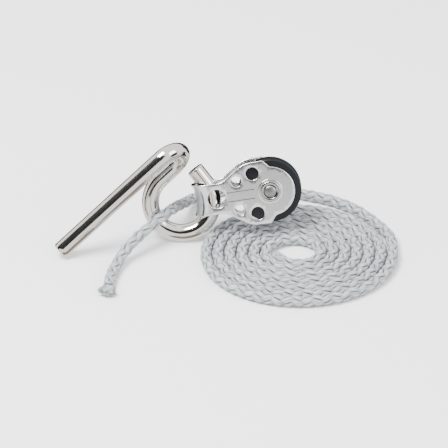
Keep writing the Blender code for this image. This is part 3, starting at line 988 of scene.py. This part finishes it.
    @staticmethod
    def inside(points, loops):
        """Which points are inside an odd number of loops, by the edges that a ray to +X meets."""
        odd = np.zeros(len(points), bool)
        x, y = points[:, 0, None], points[:, 1, None]
        for loop in loops:
            x1, y1 = loop.T
            x2, y2 = np.roll(loop, -1, axis=0).T
            spans = (y1 > y) != (y2 > y)
            with np.errstate(divide="ignore", invalid="ignore"):
                meets = x < x1 + (y - y1) * (x2 - x1) / (y2 - y1)
            odd ^= (spans & meets).sum(1) % 2 == 1
        return odd


class MakeSheave(bpy.types.Operator):
    """Make the grooved sheave, the split race in it and its ring of balls"""

    bl_idname = "block.sheave"
    bl_label = "Sheave and balls"

    SHOULDER_AT = 0.0014  # from the wheel's middle to where a track's flank ends
    TRACK_OUTER = 0.0062955
    TRACK_INNER = 0.0035955
    SHOULDER_HEIGHT = 0.00055
    ROUND = 0.00045  # of the rims' edges
    WHEEL_STEPS = 160
    GROOVE_STEPS = 24
    ROUND_STEPS = 6
    RACE_CLEARANCE = 0.0001  # between a race half and the tube or a cheek
    RACE_SPLIT = 0.00005  # half the gap between the two race halves

    def execute(self, context):
        sizes, finishes = context.scene.block_sizes, context.scene.block_finishes
        black = finish(
            "wheel_black",
            finishes.wheel,
            metallic=0.0,
            roughness=0.30,
            grain=0.04,
            scale=600.0,
            bump=0.000004,
        )
        black.node_tree.nodes["Principled BSDF"].inputs["Specular IOR Level"].default_value = 0.3
        wheel = piece("sheave_wheel", *turned(self.wheel(sizes), self.WHEEL_STEPS), black)
        fitted(wheel, "wheel", "sheave_acetal", "sheave")
        moulded = finish(
            "race_moulded",
            finishes.race,
            metallic=0.0,
            roughness=0.35,
            grain=0.05,
            scale=600.0,
            bump=0.00001,
        )
        for side, end in ((1, "front"), (-1, "back")):
            race = piece(f"race_half_{end}", *turned(self.race(sizes, side)), moulded)
            fitted(race, "block", "race_acetal", f"race_{end}")
        ground = finish(
            "ball_ground",
            finishes.ball,
            metallic=0.0,
            roughness=0.3,
            grain=0.05,
            scale=900.0,
            bump=0.00001,
        )
        for name in sorted(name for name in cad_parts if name.startswith("ball_")):
            ball = self.ball(name, sizes.ball_radius, ground)
            fitted(ball, "ball_ring", "ball_acetal", name)
        return {"FINISHED"}

    def wheel(self, sizes):
        """The sheave's section: a round groove, rounded rims and a stepped bore."""
        radius, half = sizes.sheave_radius, sizes.sheave_width / 2
        depth, groove = sizes.groove_depth, sizes.groove_radius
        middle = radius - depth + groove
        spread = math.atan2(groove * math.sqrt(1 - (1 - depth / groove) ** 2), groove - depth)
        cut = arc((middle, 0), groove, math.pi - spread, math.pi + spread, self.GROOVE_STEPS)
        bore = self.TRACK_OUTER - self.SHOULDER_HEIGHT
        corner = (radius - self.ROUND, half - self.ROUND)
        rim = arc(corner, self.ROUND, math.pi / 2, 0, self.ROUND_STEPS)
        return np.concatenate(
            [
                [(bore, half)],
                rim,
                cut,
                rim[::-1] * (1, -1),
                [
                    (bore, -half),
                    (bore, -self.SHOULDER_AT),
                    (self.TRACK_OUTER, -self.SHOULDER_AT / 2),
                    (self.TRACK_OUTER, self.SHOULDER_AT / 2),
                    (bore, self.SHOULDER_AT),
                ],
            ]
        )

    def race(self, sizes, side):
        """The section of half of the inner track, a little clear of the tube and the cheek."""
        bore = sizes.tube_radius + self.RACE_CLEARANCE
        outer = sizes.gap / 2 - self.RACE_CLEARANCE
        shoulder = self.TRACK_INNER + self.SHOULDER_HEIGHT
        profile = np.array(
            [
                (bore, outer),
                (shoulder, outer),
                (shoulder, self.SHOULDER_AT),
                (self.TRACK_INNER, self.SHOULDER_AT / 2),
                (self.TRACK_INNER, self.RACE_SPLIT),
                (bore, self.RACE_SPLIT),
            ]
        )
        return profile * (1, side)

    @staticmethod
    def ball(name, radius, material):
        """A ball about the middle of its node: radius times the sphere's unit directions."""
        low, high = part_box(name)
        centre = (np.array(low) + np.array(high)) / 2
        polar, turn = np.meshgrid(
            np.linspace(0, np.pi, 17), np.linspace(0, 2 * np.pi, 24, endpoint=False), indexing="ij"
        )
        way = np.stack([np.sin(polar) * np.cos(turn), np.sin(polar) * np.sin(turn), np.cos(polar)])
        points = centre + radius * np.moveaxis(way, 0, -1)
        return piece(f"race_{name}", *grid(points)[:2], material)


class MakeAxle(bpy.types.Operator):
    """Make the flared tube that clamps the cheeks and the domed pin in it"""

    bl_idname = "block.axle"
    bl_label = "Axle"

    SEAT = 0.0058  # from the block's middle to the underside of a flare
    FLARE_HEIGHT = 0.00045
    FLARE_STEPS = 6
    PIN_CLEARANCE = 0.0003
    PIN_END = 0.00655
    DOME = 0.0006
    DOME_STEPS = 14

    def execute(self, context):
        sizes, finishes = context.scene.block_sizes, context.scene.block_finishes
        steel = finish(
            "axle_turned",
            finishes.turned,
            metallic=1.0,
            roughness=0.14,
            grain=0.04,
            scale=900.0,
            bump=0.000001,
        )
        bore = sizes.tube_radius - sizes.tube_wall
        lip = self.FLARE_HEIGHT / 2
        crest = self.SEAT + self.FLARE_HEIGHT - lip
        inner = arc((bore + lip, crest), lip, math.pi, math.pi / 2, self.FLARE_STEPS)
        outer = arc((sizes.flare_radius - lip, crest), lip, math.pi / 2, 0, self.FLARE_STEPS)
        end = [(sizes.flare_radius, self.SEAT), (sizes.tube_radius, self.SEAT)]
        half = np.concatenate([inner, outer, end])
        sleeve = piece("axle_sleeve", *turned(np.concatenate([half, half[::-1] * (1, -1)])), steel)
        fitted(sleeve, "block", "axle_steel", "axle_tube")

        radius = bore - self.PIN_CLEARANCE
        turn = np.linspace(0, np.pi / 2, self.DOME_STEPS)
        cap = np.column_stack(
            [radius * np.sin(turn), self.PIN_END - self.DOME * (1 - np.cos(turn))]
        )
        dull = finish(
            "pin_dull",
            finishes.pin,
            metallic=1.0,
            roughness=0.34,
            grain=0.06,
            scale=1200.0,
            bump=0.000006,
        )
        profile = np.concatenate([cap, cap[::-1] * (1, -1)])
        pin = piece("axle_core_pin", *turned(profile, closed=False), dull)
        fitted(pin, "block", "axle_steel", "axle_pin")
        return {"FINISHED"}


class BlockPanel(bpy.types.Panel):
    """Lists the pieces that can be made, and their sizes and finishes"""

    bl_idname = "VIEW3D_PT_sheave_block"
    bl_label = "Sheave block"
    bl_space_type = "VIEW_3D"
    bl_region_type = "UI"
    bl_category = "Block"

    def draw(self, context):
        for operator in OPERATORS:
            self.layout.operator(operator.bl_idname)
        for group in GROUPS:
            for name in GROUPS[group].__annotations__:
                self.layout.prop(getattr(context.scene, group), name)


GROUPS = {
    "block_hook": HookSizes,
    "block_sizes": BlockSizes,
    "block_line": LineSizes,
    "block_finishes": Finishes,
}
OPERATORS = (MakeStage, MakeLine, MakeHook, MakeStrap, MakeSheave, MakeAxle)


def register():
    for kind in (*GROUPS.values(), *OPERATORS, BlockPanel):
        bpy.utils.register_class(kind)
    for name, kind in GROUPS.items():
        setattr(bpy.types.Scene, name, bpy.props.PointerProperty(type=kind))


def unregister():
    for name in GROUPS:
        delattr(bpy.types.Scene, name)
    for kind in (BlockPanel, *reversed(OPERATORS), *reversed(list(GROUPS.values()))):
        bpy.utils.unregister_class(kind)


def main():
    register()
    for operator in OPERATORS:
        getattr(bpy.ops.block, operator.bl_idname.split(".")[1])()


if __name__ == "__main__":
    main()
